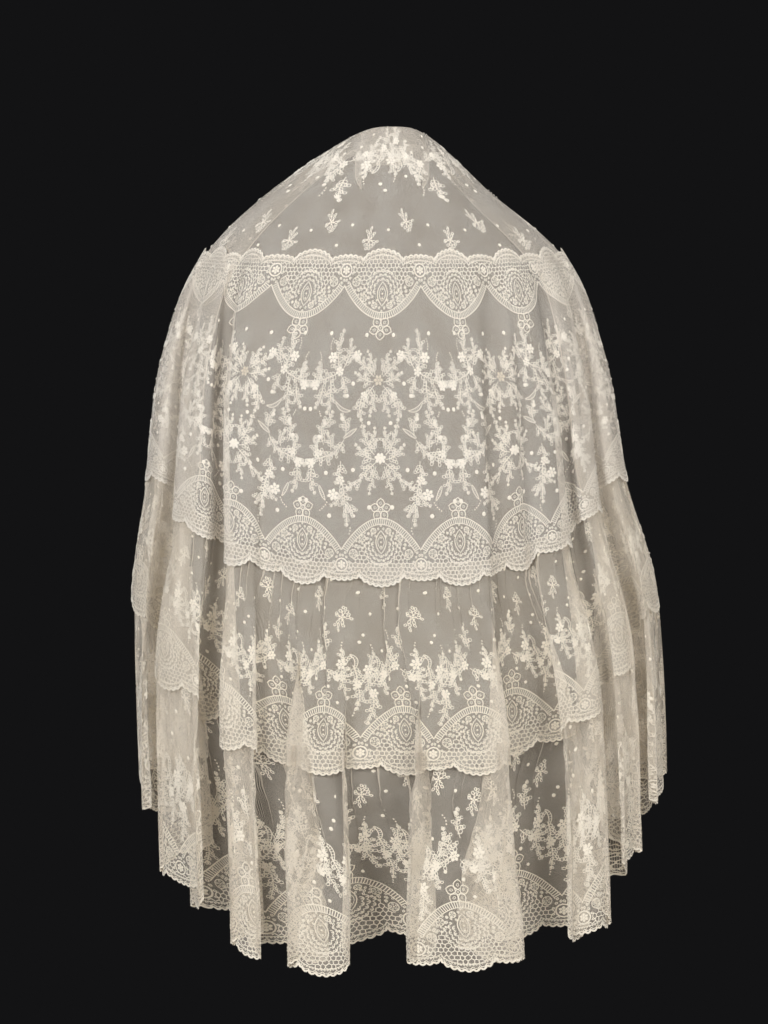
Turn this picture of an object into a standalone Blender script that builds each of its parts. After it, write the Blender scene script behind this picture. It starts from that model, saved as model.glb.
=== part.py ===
"""Mantilla of gathered net lace, hollow and open in front, as it hangs from a neck and shoulders.

The frame is in metres with +Z up. The origin is at the middle of the neck, level with the top
fold at the nape. The back of the garment faces -Y, its front opening faces +Y.

Four cut pieces hang on one drape. The neck flounce rises over the shoulders and is turned in at
the neck. The back panel has a scalloped border on both long edges. Two gathered flounces follow.
A place on the drape is given by a wave, which counts half folds from the left front edge to the
right front edge, and by a level, which counts the rings below, from the neck down to the hem.
"""

from typing import NamedTuple

import bmesh
import bpy
import numpy as np

MM = 0.001
WALL = 1.5 * MM
SEAM_GAP = 0.3 * MM
# More room at each seam, because the straight strips of two pieces cut a fold's corners unlike
PANEL_EASE = 1.6 * MM
HEM_EASE = 0.8 * MM
SEAM_GATHER = 1.5 * MM  # height of the small gathers where a flounce is sewn on
TUCK = 0.06  # of a ring's height, that a piece runs up under the one above it

# The border's edge has a large scallop under each medallion and a small one under each rosette.
# It repeats about every 96 mm of cloth.
LARGE_SCALLOP = 13 * MM
SMALL_SCALLOP = 6 * MM
LARGE_SHARE = 0.54  # of a repeat
COLUMNS_PER_REPEAT = 8

ROUNDNESS = 2.4  # exponent of the plan: 2 is an ellipse, more is flatter over the back
BACK_DIP = 3  # exponent of the levels' rise from the middle of the back to the sides
UPRIGHT = 0.95  # of a fold's sides: 1 stands them straight, and more leans them over the trough
BREADTH = 0.85  # of a crest against its trough: 0 makes both as wide
FULL_LEAN_SWING = 26 * MM  # a fold with less swing leans less
STEP = 1e-3  # in waves and levels, for the slopes of the drape
FINE_STEPS = 4000


class Ring(NamedTuple):
    """Heights and reaches in millimetres. Back, side and front are the three directions."""

    z_back: float
    z_side: float
    z_front: float
    left: float
    right: float
    back: float
    front: float


RINGS = {
    "turned_edge": Ring(-40, -51, -74, 40, 40, 40, 32),
    "neck_fold": Ring(3, -6, -34, 50, 48, 54, 42),
    "slope": Ring(-76, -66, -84, 148, 118, 94, 78),
    "shoulder": Ring(-166, -150, -165, 230, 210, 114, 98),
    "upper_arm": Ring(-330, -264, -266, 266, 246, 134, 126),
    "panel_edge": Ring(-521, -392, -376, 278, 264, 150, 146),
    "flounce_edge": Ring(-730, -537, -516, 296, 302, 172, 168),
    "hem": Ring(-950, -748, -728, 286, 306, 196, 186),
}
LEVEL = {name: float(index) for index, name in enumerate(RINGS)}


class Fold(NamedTuple):
    """A crest or a trough, in turn. Angles are in degrees from the middle of the back to the
    right, at the shoulder and at the hem. A swing is how far a crest stands out from the plan,
    or a trough goes in, in millimetres at the lower edge of each piece. The hem is lifted by
    some millimetres where a fold is drawn up."""

    shoulder_angle: float
    hem_angle: float
    panel_swing: float
    flounce_swing: float
    hem_swing: float
    hem_lift: float


FOLDS = (
    Fold(-125, -125, 8, 10, 14, 0),
    Fold(-114, -115, 10, 12, 18, 0),
    Fold(-103, -105, 12, 14, 20, 0),
    Fold(-92, -93, 14, 18, 26, 0),
    Fold(-79, -76, 16, 20, 26, 0),
    Fold(-65, -62, 16, 24, 34, 0),
    Fold(-54, -50, 16, 20, 28, 0),
    Fold(-46, -38, 22, 26, 32, 0),
    Fold(-38, -29, 10, 16, 22, 0),
    Fold(-26, -22, 2, 10, 22, 12),
    Fold(-14, -11.5, 0, 8, 24, 5),
    Fold(-1.5, -1.5, 0, 8, 56, 30),
    Fold(12, 8.5, 0, 8, 26, 12),
    Fold(27, 29.5, 18, 24, 34, 10),
    Fold(39, 41, 14, 20, 28, -16),
    Fold(48, 49.5, 10, 14, 24, 0),
    Fold(56.5, 56, 10, 14, 22, 0),
    Fold(65, 64, 14, 18, 28, 0),
    Fold(78, 76, 16, 20, 26, 0),
    Fold(91, 91, 14, 18, 26, 0),
    Fold(103, 105, 12, 14, 20, 0),
    Fold(114, 115, 10, 12, 18, 0),
    Fold(125, 125, 8, 10, 14, 0),
)
LAST_WAVE = len(FOLDS) - 1.0


class Piece(NamedTuple):
    """A cut piece, from one ring to another. The inset is how far it lies inside the drape, and
    the gathers' heights are at its top and bottom edges, all in metres."""

    top: float
    bottom: float
    top_repeats: int
    repeats: int
    strips: int
    inset: float
    gathers: int
    top_gather: float
    bottom_gather: float
    scalloped_top: bool
    scalloped_bottom: bool


FIRST_GATHER = 2 * MM
HEM_GATHER = 5 * MM
NECK_INSET = WALL + SEAM_GAP + PANEL_EASE
FIRST_INSET = NECK_INSET + SEAM_GATHER
HEM_INSET = FIRST_INSET + FIRST_GATHER + WALL + SEAM_GAP + HEM_EASE + SEAM_GATHER

PIECES = {
    "neck_flounce": Piece(
        LEVEL["turned_edge"], LEVEL["shoulder"], 9, 9, 9, NECK_INSET, 0, 0, 0, False, False
    ),
    "back_panel": Piece(LEVEL["shoulder"], LEVEL["panel_edge"], 11, 15, 6, 0, 0, 0, 0, True, True),
    "first_flounce": Piece(
        LEVEL["panel_edge"] - TUCK, LEVEL["flounce_edge"], 21, 21, 5,
        FIRST_INSET, 56, SEAM_GATHER, FIRST_GATHER, False, True,
    ),
    "hem_flounce": Piece(
        LEVEL["flounce_edge"] - TUCK, LEVEL["hem"], 27, 27, 5,
        HEM_INSET, 72, SEAM_GATHER, HEM_GATHER, False, True,
    ),
}  # fmt: skip


def smooth_table(rows, place):
    """A smooth curve through evenly spaced rows, at places counted in rows."""
    rows = np.asarray(rows, float)
    place = np.clip(np.asarray(place, float), 0, len(rows) - 1)
    below = np.minimum(place.astype(int), len(rows) - 2)
    part = (place - below)[..., None]
    padded = np.vstack([2 * rows[0] - rows[1], rows, 2 * rows[-1] - rows[-2]])
    a, b, c, d = (padded[below + k] for k in range(4))
    slope, bend = c - a, 2 * a - 5 * b + 4 * c - d
    return b + 0.5 * part * (slope + part * (bend + part * (3 * b - a - 3 * c + d)))


def rise(value, start, end):
    """0 before start, 1 after end, and smooth between."""
    part = np.clip((value - start) / (end - start), 0, 1)
    return part * part * (3 - 2 * part)


def fold_at(wave, level):
    """The angle of a place round the plan, half a fold's width there, and its swing and lift in
    metres."""
    drift = rise(level, LEVEL["shoulder"], LEVEL["hem"])
    fold = smooth_table(FOLDS, wave)
    ahead, behind = smooth_table(FOLDS, wave + 0.5), smooth_table(FOLDS, wave - 0.5)
    width = ahead - behind
    angle = fold[..., 0] + (fold[..., 1] - fold[..., 0]) * drift
    half_width = width[..., 0] + (width[..., 1] - width[..., 0]) * drift
    # The folds start over the shoulder, and each piece lets them grow
    over_panel = rise(level, (LEVEL["slope"] + LEVEL["shoulder"]) / 2, LEVEL["panel_edge"])
    over_flounce = rise(level, LEVEL["panel_edge"], LEVEL["flounce_edge"])
    over_hem = rise(level, LEVEL["flounce_edge"], LEVEL["hem"])
    swing = fold[..., 2] * over_panel
    swing = swing + (fold[..., 3] - fold[..., 2]) * over_flounce
    swing = swing + (fold[..., 4] - fold[..., 3]) * over_hem
    lift = fold[..., 5] * over_hem
    return np.radians(angle), np.radians(half_width), swing * MM, lift * MM


def drape(wave, level):
    """Points of the drape, in metres, for arrays of waves and levels."""
    wave, level = np.broadcast_arrays(np.asarray(wave, float), np.asarray(level, float))
    ring = smooth_table(list(RINGS.values()), level) * MM
    z_back, z_side, z_front, left, right, back, front = np.moveaxis(ring, -1, 0)
    angle, half_width, swing, lift = fold_at(wave, level)

    side, away = np.sin(angle), np.cos(angle)
    reach = np.where(side < 0, left, right)
    depth = np.where(away > 0, back, front)
    bend = 2 / ROUNDNESS
    x = reach * np.sign(side) * np.abs(side) ** bend
    y = -depth * np.sign(away) * np.abs(away) ** bend
    z_behind = z_back + (z_side - z_back) * np.abs(side) ** BACK_DIP
    z_ahead = z_side + (z_front - z_side) * away**2
    z = np.where(away > 0, z_behind, z_ahead) + lift

    out_x = np.sign(side) * np.abs(side) ** (2 - bend) / reach
    out_y = -np.sign(away) * np.abs(away) ** (2 - bend) / depth
    length = np.hypot(out_x, out_y)
    out_x, out_y = out_x / length, out_y / length

    phase = np.pi * wave
    lean = np.minimum(swing / FULL_LEAN_SWING, 1) * half_width * reach / np.pi
    out = swing * np.cos(phase)
    along = lean * (UPRIGHT / 2 * np.sin(2 * phase) + BREADTH * np.sin(phase))
    return np.stack([x + out * out_x - along * out_y, y + out * out_y + along * out_x, z], -1)


def outward(wave, level):
    """The drape's unit normals, away from the hollow."""
    across = drape(wave + STEP, level) - drape(wave - STEP, level)
    down = drape(wave, level + STEP) - drape(wave, level - STEP)
    normal = np.cross(down, across)
    return normal / np.linalg.norm(normal, axis=-1, keepdims=True)


def even_waves(level, count):
    """Waves that part the drape at this level into lengths of cloth of the same size."""
    fine = np.linspace(0, LAST_WAVE, FINE_STEPS + 1)
    points = drape(fine, level)
    steps = np.linalg.norm(np.diff(points, axis=0), axis=1)
    along = np.concatenate([[0], np.cumsum(steps)])
    return np.interp(np.linspace(0, along[-1], count), along, fine)


def scallop(repeats_along):
    """How far the border's edge hangs past the line of its cusps."""
    part = np.mod(repeats_along, 1.0)
    across_large = np.abs(part - 0.5) / (LARGE_SHARE / 2)
    across_small = np.minimum(part, 1 - part) / ((1 - LARGE_SHARE) / 2)
    large = LARGE_SCALLOP * np.sqrt(np.clip(1 - across_large**1.7, 0, 1))
    small = SMALL_SCALLOP * np.sqrt(np.clip(1 - across_small**2, 0, 1))
    return np.maximum(large, small)


def piece_points(piece):
    """The outer points of a cut piece, as rows of columns from its top edge down."""
    columns = piece.repeats * COLUMNS_PER_REPEAT
    waves = even_waves(piece.bottom, columns + 1)
    gathered = np.cos(2 * np.pi * piece.gathers * np.arange(columns + 1) / columns)
    across = np.linspace(0, 1, columns + 1)
    rows = []
    for strip in range(piece.strips + 1):
        down = strip / piece.strips
        level = piece.top + (piece.bottom - piece.top) * down
        gather = piece.top_gather + (piece.bottom_gather - piece.top_gather) * down
        out = gather * gathered - piece.inset
        points = drape(waves, level) + outward(waves, level) * out[:, None]
        slope = drape(waves, level + STEP) - drape(waves, level - STEP)
        slope /= np.linalg.norm(slope, axis=-1, keepdims=True)
        if strip == 0 and piece.scalloped_top:
            points = points - slope * scallop(across * piece.top_repeats)[:, None]
        if strip == piece.strips and piece.scalloped_bottom:
            points = points + slope * scallop(across * piece.repeats)[:, None]
        rows.append(points)
    return rows


def lace_material(name):
    material = bpy.data.materials.new(name)
    material.use_nodes = True
    shader = material.node_tree.nodes["Principled BSDF"]
    shader.inputs["Base Color"].default_value = (0.80, 0.74, 0.62, 1)
    shader.inputs["Roughness"].default_value = 0.85
    shader.inputs["Metallic"].default_value = 0.0
    return material


def cloth_object(name, rows, collection):
    """An open sheet through the rows of points, made into a wall on its inner side."""
    mesh = bpy.data.meshes.new(name)
    sheet = bmesh.new()
    grid = [[sheet.verts.new(point) for point in row] for row in rows]
    for upper, lower in zip(grid, grid[1:]):
        for left in range(len(upper) - 1):
            right = left + 1
            sheet.faces.new((upper[left], lower[left], lower[right], upper[right]))
    sheet.to_mesh(mesh)
    sheet.free()
    mesh.shade_smooth()
    mesh.materials.append(lace_material(name + "_lace"))
    cloth = bpy.data.objects.new(name, mesh)
    collection.objects.link(cloth)
    wall = cloth.modifiers.new("wall", "SOLIDIFY")
    wall.thickness = WALL
    wall.offset = -1
    return cloth


def build():
    for old in list(bpy.data.objects):
        bpy.data.objects.remove(old)
    collection = bpy.data.collections.new("mantilla")
    bpy.context.scene.collection.children.link(collection)
    for name, piece in PIECES.items():
        cloth_object(name, piece_points(piece), collection)


build()
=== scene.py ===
"""The mantilla's looks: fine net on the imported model's drape, its gathers and its embroidery.

Four shells of net replace the four solids. Each follows the drape of its solid, with a finer
fall, small gathers and creases. Embroidery is charted flat, in millimetres, from the line of the
border's cusps, and is laid on the net as raised threads.
"""

import math
from typing import NamedTuple

import bpy
import numpy as np
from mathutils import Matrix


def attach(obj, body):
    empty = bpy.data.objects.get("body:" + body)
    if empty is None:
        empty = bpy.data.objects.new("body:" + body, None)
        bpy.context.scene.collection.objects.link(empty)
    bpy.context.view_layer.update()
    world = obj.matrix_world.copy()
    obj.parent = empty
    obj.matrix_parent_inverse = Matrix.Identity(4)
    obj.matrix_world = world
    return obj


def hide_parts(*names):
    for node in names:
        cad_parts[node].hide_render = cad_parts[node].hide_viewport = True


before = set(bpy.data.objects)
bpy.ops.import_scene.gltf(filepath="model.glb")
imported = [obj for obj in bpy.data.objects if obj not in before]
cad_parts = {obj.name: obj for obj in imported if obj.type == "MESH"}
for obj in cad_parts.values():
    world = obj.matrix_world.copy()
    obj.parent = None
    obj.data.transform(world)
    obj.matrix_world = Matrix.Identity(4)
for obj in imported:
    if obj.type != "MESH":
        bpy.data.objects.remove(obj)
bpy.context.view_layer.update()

MM = 0.001
WALL = 1.5 * MM
SEAM_GAP = 0.3 * MM
PANEL_EASE = 1.6 * MM
HEM_EASE = 0.8 * MM
SEAM_GATHER = 1.5 * MM
FIRST_GATHER = 2 * MM
TUCK = 0.06  # of a ring's height, that a piece runs up under the one above it
REPEAT = 96.0  # millimetres of cloth in a repeat of the border
LARGE_SCALLOP = 13.0
SMALL_SCALLOP = 6.0
LARGE_SHARE = 0.54  # of a repeat

ROUNDNESS = 2.4  # exponent of the plan: 2 is an ellipse, more is flatter over the back
BACK_DIP = 3  # exponent of the levels' rise from the middle of the back to the sides
BREADTH = 0.27  # of a fold's half width, that its sides stand nearer the trough
FULL_LEAN_SWING = 26 * MM  # a fold with less swing leans less
STRAIGHT_SIDE = 1 / (2 * math.pi)  # the share folded under at which a fold's side stands straight
FULL_UNDER_SWING = 9 * MM  # the swing from which a side is folded under as its table says
STEP = 1e-3  # in waves and levels, for the slopes of the drape
FINE_STEPS = 4000


class Ring(NamedTuple):
    """Heights and reaches in millimetres. Back, side and front are the three directions."""

    z_back: float
    z_side: float
    z_front: float
    left: float
    right: float
    back: float
    front: float


RINGS = {
    "turned_edge": Ring(-40, -51, -74, 40, 40, 40, 32),
    "neck_fold": Ring(3, -6, -34, 50, 48, 54, 42),
    "slope": Ring(-76, -66, -84, 148, 118, 94, 78),
    "shoulder": Ring(-166, -150, -165, 230, 210, 114, 98),
    "upper_arm": Ring(-330, -264, -266, 266, 246, 134, 126),
    "panel_edge": Ring(-521, -392, -376, 278, 264, 150, 146),
    "flounce_edge": Ring(-730, -537, -516, 296, 302, 172, 168),
    "hem": Ring(-950, -748, -728, 286, 306, 196, 186),
}
LEVEL = {name: float(index) for index, name in enumerate(RINGS)}


def rows_of(kind, *rows):
    """A table whose rows are given plainly, with the columns of their kind."""
    return tuple(kind(*row) for row in rows)


class Fold(NamedTuple):
    """A crest or a trough, in turn. Angles are in degrees from the middle of the back to the
    right, at the shoulder and at the hem. A swing is how far a crest stands out from the plan,
    or a trough goes in, in millimetres at the lower edge of each piece. The hem is lifted by
    some millimetres where a fold is drawn up."""

    shoulder_angle: float
    hem_angle: float
    panel_swing: float
    flounce_swing: float
    hem_swing: float
    hem_lift: float


FOLDS = rows_of(
    Fold,
    (-125, -125, 8, 10, 14, 0),
    (-114, -115, 10, 12, 18, 0),
    (-103, -105, 12, 14, 20, 0),
    (-92, -93, 14, 18, 26, 0),
    (-79, -76, 16, 20, 26, 0),
    (-65, -62, 16, 24, 34, 0),
    (-54, -50, 16, 20, 28, 0),
    (-46, -38, 22, 26, 32, 0),
    (-38, -29, 10, 16, 22, 0),
    (-26, -22, 2, 10, 22, 12),
    (-14, -11.5, 0, 8, 24, 5),
    (-1.5, -1.5, 0, 8, 56, 30),
    (12, 8.5, 0, 8, 26, 12),
    (27, 29.5, 18, 24, 34, 10),
    (39, 41, 14, 20, 28, -16),
    (48, 49.5, 10, 14, 24, 0),
    (56.5, 56, 10, 14, 22, 0),
    (65, 64, 14, 18, 28, 0),
    (78, 76, 16, 20, 26, 0),
    (91, 91, 14, 18, 26, 0),
    (103, 105, 12, 14, 20, 0),
    (114, 115, 10, 12, 18, 0),
    (125, 125, 8, 10, 14, 0),
)
LAST_WAVE = len(FOLDS) - 1.0


class Side(NamedTuple):
    """How much of a fold's side is folded under its crest, from each crest or trough to the
    next, as a share of the distance between them, in the first flounce and at the hem."""

    flounce: float
    hem: float


PANEL_SIDE = 0.15
SIDES = rows_of(
    Side,
    (0.20, 0.32),
    (0.24, 0.38),
    (0.30, 0.42),
    (0.26, 0.36),
    (0.32, 0.50),
    (0.36, 0.46),
    (0.40, 0.52),
    (0.32, 0.44),
    (0.28, 0.42),
    (0.50, 0.62),
    (0.26, 0.34),
    (0.40, 0.50),
    (0.34, 0.56),
    (0.42, 0.52),
    (0.36, 0.50),
    (0.30, 0.44),
    (0.34, 0.48),
    (0.38, 0.52),
    (0.30, 0.46),
    (0.32, 0.42),
    (0.26, 0.36),
    (0.20, 0.32),
)


def smooth_table(rows, place):
    """A smooth curve through evenly spaced rows, at places counted in rows."""
    rows = np.asarray(rows, float)
    place = np.clip(np.asarray(place, float), 0, len(rows) - 1)
    below = np.minimum(place.astype(int), len(rows) - 2)
    part = (place - below)[..., None]
    padded = np.vstack([2 * rows[0] - rows[1], rows, 2 * rows[-1] - rows[-2]])
    a, b, c, d = (padded[below + k] for k in range(4))
    slope, bend = c - a, 2 * a - 5 * b + 4 * c - d
    return b + 0.5 * part * (slope + part * (bend + part * (3 * b - a - 3 * c + d)))


def rise(value, start, end):
    """0 before start, 1 after end, and smooth between."""
    part = np.clip((value - start) / (end - start), 0, 1)
    return part * part * (3 - 2 * part)


def fold_at(wave, level):
    """The angle of a place round the plan, half a fold's width there, its swing and lift in
    metres, and the share of its side that is folded under."""
    drift = rise(level, LEVEL["shoulder"], LEVEL["hem"])
    fold = smooth_table(FOLDS, wave)
    ahead, behind = smooth_table(FOLDS, wave + 0.5), smooth_table(FOLDS, wave - 0.5)
    width = ahead - behind
    angle = fold[..., 0] + (fold[..., 1] - fold[..., 0]) * drift
    half_width = width[..., 0] + (width[..., 1] - width[..., 0]) * drift
    # The folds start over the shoulder, and each piece lets them grow
    over_panel = rise(level, (LEVEL["slope"] + LEVEL["shoulder"]) / 2, LEVEL["panel_edge"])
    over_flounce = rise(level, LEVEL["panel_edge"], LEVEL["flounce_edge"])
    over_hem = rise(level, LEVEL["flounce_edge"], LEVEL["hem"])
    swing = fold[..., 2] * over_panel
    swing = swing + (fold[..., 3] - fold[..., 2]) * over_flounce
    swing = swing + (fold[..., 4] - fold[..., 3]) * over_hem
    lift = fold[..., 5] * over_hem
    side = np.array(SIDES)[np.clip(wave.astype(int), 0, len(SIDES) - 1)]
    under = PANEL_SIDE + (side[..., 0] - PANEL_SIDE) * over_flounce
    under = under + (side[..., 1] - side[..., 0]) * over_hem
    return np.radians(angle), np.radians(half_width), swing * MM, lift * MM, under


def drape(wave, level):
    """Points of the drape, in metres, for arrays of waves and levels."""
    wave, level = np.broadcast_arrays(np.asarray(wave, float), np.asarray(level, float))
    ring = smooth_table(list(RINGS.values()), level) * MM
    z_back, z_side, z_front, left, right, back, front = np.moveaxis(ring, -1, 0)
    angle, half_width, swing, lift, under = fold_at(wave, level)

    side, away = np.sin(angle), np.cos(angle)
    reach = np.where(side < 0, left, right)
    depth = np.where(away > 0, back, front)
    bend = 2 / ROUNDNESS
    x = reach * np.sign(side) * np.abs(side) ** bend
    y = -depth * np.sign(away) * np.abs(away) ** bend
    z_behind = z_back + (z_side - z_back) * np.abs(side) ** BACK_DIP
    z_ahead = z_side + (z_front - z_side) * away**2
    z = np.where(away > 0, z_behind, z_ahead) + lift

    out_x = np.sign(side) * np.abs(side) ** (2 - bend) / reach
    out_y = -np.sign(away) * np.abs(away) ** (2 - bend) / depth
    length = np.hypot(out_x, out_y)
    out_x, out_y = out_x / length, out_y / length

    phase = np.pi * wave
    between = half_width * reach
    broad = BREADTH * (1 - rise(under, STRAIGHT_SIDE, 0.5)) * np.minimum(swing / FULL_LEAN_SWING, 1)
    under = under * np.minimum(swing / FULL_UNDER_SWING, 1)
    out = swing * np.cos(phase)
    along = between * (under * np.sin(2 * phase) + broad * np.sin(phase))
    return np.stack([x + out * out_x - along * out_y, y + out * out_y + along * out_x, z], -1)


def unit(vectors):
    return vectors / np.linalg.norm(vectors, axis=-1, keepdims=True)


def lengths_along(path):
    """The length of a path before each of its points."""
    return np.concatenate([[0], np.cumsum(np.linalg.norm(np.diff(path, axis=0), axis=1))])


def outward(wave, level):
    """The drape's unit normals, away from the hollow."""
    across = drape(wave + STEP, level) - drape(wave - STEP, level)
    down = drape(wave, level + STEP) - drape(wave, level - STEP)
    return unit(np.cross(down, across))


def scallop(repeats_along):
    """How far the border's edge hangs past the line of its cusps, in millimetres."""
    part = np.mod(repeats_along, 1.0)
    across_large = np.abs(part - 0.5) / (LARGE_SHARE / 2)
    across_small = np.minimum(part, 1 - part) / ((1 - LARGE_SHARE) / 2)
    large = LARGE_SCALLOP * np.sqrt(np.clip(1 - across_large**1.7, 0, 1))
    small = SMALL_SCALLOP * np.sqrt(np.clip(1 - across_small**2, 0, 1))
    return np.maximum(large, small)


# Gathers and creases


class Gathers(NamedTuple):
    """Small overlapping folds below a seam: how many, how many millimetres one overlaps, how
    much of the piece's height the longest runs down, and how far one stands out for its overlap."""

    count: int
    overlap: float
    reach: float
    relief: float


class Crease(NamedTuple):
    """A soft ridge, or a trough where the height is negative, down the drape. The wave counts
    half folds from the left front edge, and the width and height are in millimetres."""

    wave: float
    top: float
    bottom: float
    width: float
    height: float


CREASES = rows_of(
    Crease,
    (1.4, 3.2, 5.4, 9, 2.0),
    (2.7, 3.0, 6.5, 12, -2.4),
    (3.6, 4.2, 7.0, 8, 2.2),
    (4.6, 3.1, 5.2, 7, 1.8),
    (5.5, 4.6, 7.0, 10, -2.6),
    (6.4, 3.0, 4.8, 6, 2.2),
    (7.6, 3.4, 6.3, 8, -2.0),
    (8.5, 3.2, 5.0, 5, 1.6),
    (9.3, 4.8, 6.8, 7, 1.8),
    (9.9, 2.1, 3.6, 9, -1.6),
    (10.6, 4.5, 6.9, 5, 2.2),
    (11.6, 4.1, 6.1, 6, -1.4),
    (12.2, 4.7, 7.0, 5, 2.4),
    (12.7, 2.2, 3.9, 8, 1.6),
    (13.4, 3.2, 5.2, 6, 1.8),
    (14.5, 4.9, 7.0, 7, -2.2),
    (15.6, 3.1, 5.9, 6, 2.0),
    (16.6, 4.4, 7.0, 9, 2.2),
    (17.7, 3.1, 5.3, 8, -2.2),
    (18.8, 4.2, 7.0, 7, 1.8),
    (20.2, 3.3, 6.1, 10, 2.4),
    (21.2, 4.8, 7.0, 8, -1.8),
)


def crease_height(wave, level, metres_per_wave):
    """How far the creases stand out of the drape, in metres."""
    height = np.zeros_like(wave)
    for crease in CREASES:
        middle, half = (crease.top + crease.bottom) / 2, (crease.bottom - crease.top) / 2
        along = np.clip(1 - ((level - middle) / half) ** 2, 0, 1)
        aside = (wave - crease.wave) * metres_per_wave / (crease.width * MM)
        height += crease.height * MM * along * np.exp(-(aside**2))
    return height


class Piece(NamedTuple):
    """A cut piece of net, as its solid has it, and the fine folds that the solid leaves out."""

    node: str
    slot: str
    held: str
    top: float
    bottom: float
    top_repeats: int
    repeats: int
    inset: float
    rows: int
    column: float  # millimetres between columns away from the gathers
    scalloped_top: bool
    scalloped_bottom: bool
    ripple: float  # metres that the soft ripples of the lower edge stand out
    cut_share: float  # of the rectangle round its flat cut that the piece fills
    gathers: Gathers


NECK_INSET = WALL + SEAM_GAP + PANEL_EASE
FIRST_INSET = NECK_INSET + SEAM_GATHER
HEM_INSET = FIRST_INSET + FIRST_GATHER + WALL + SEAM_GAP + HEM_EASE + SEAM_GATHER

NECK = Piece(
    "neck_flounce", "neck_lace", "draped", LEVEL["turned_edge"], LEVEL["shoulder"],
    9, 9, NECK_INSET, 40, 3.2, False, False, 0.0, 0.62, Gathers(26, 1.3, 0.55, 0.4),
)  # fmt: skip
PANEL = Piece(
    "back_panel", "panel_lace", "draped", LEVEL["shoulder"], LEVEL["panel_edge"],
    11, 15, 0.0, 40, 3.6, True, True, 0.0, 0.87, Gathers(0, 0.0, 1.0, 0.0),
)  # fmt: skip
FIRST = Piece(
    "first_flounce", "flounce_lace", "gathered", LEVEL["panel_edge"] - TUCK, LEVEL["flounce_edge"],
    21, 21, FIRST_INSET, 22, 5.0, False, True, 1.4 * MM, 1.0, Gathers(104, 3.0, 1.0, 0.9),
)  # fmt: skip
HEM = Piece(
    "hem_flounce", "hem_lace", "gathered", LEVEL["flounce_edge"] - TUCK, LEVEL["hem"],
    27, 27, HEM_INSET, 24, 5.0, False, True, 3.4 * MM, 1.0, Gathers(122, 3.1, 1.0, 0.95),
)  # fmt: skip

PLACE_SPREAD = 0.34  # of the gathers' pitch, either way
OVERLAP_SPREAD = (0.55, 1.5)
REACH_SPREAD = (0.22, 1.0)
SHORT_REACHES = 1.2  # exponent: above 1 makes more of the gathers short
GATHER_TAPER = 0.8  # exponent: below 1 keeps a gather full for longer
GATHER_HALF_WIDTH = 0.75  # of the overlap, either side of a gather's middle
GATHER_COLUMNS = (-1.1, -0.75, -0.45, -0.15, 0.15, 0.45, 0.75, 1.1)  # of that half width
GATHER_FALL = 9.0  # millimetres over which the cloth falls back after a gather
PLUMB = 0.5  # 1 hangs each column straight below its top, 0 spreads each row evenly
RIPPLES = ((31, 0.3, 0.5), (47, 1.9, 0.33), (73, 4.1, 0.17))  # waves, phase and share
RIPPLE_DRIFT = 2.1  # radians that a ripple drifts sideways down a piece
MIDDLE_COLUMNS = 40  # either side of the middle of the back, over which the height is measured


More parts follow.
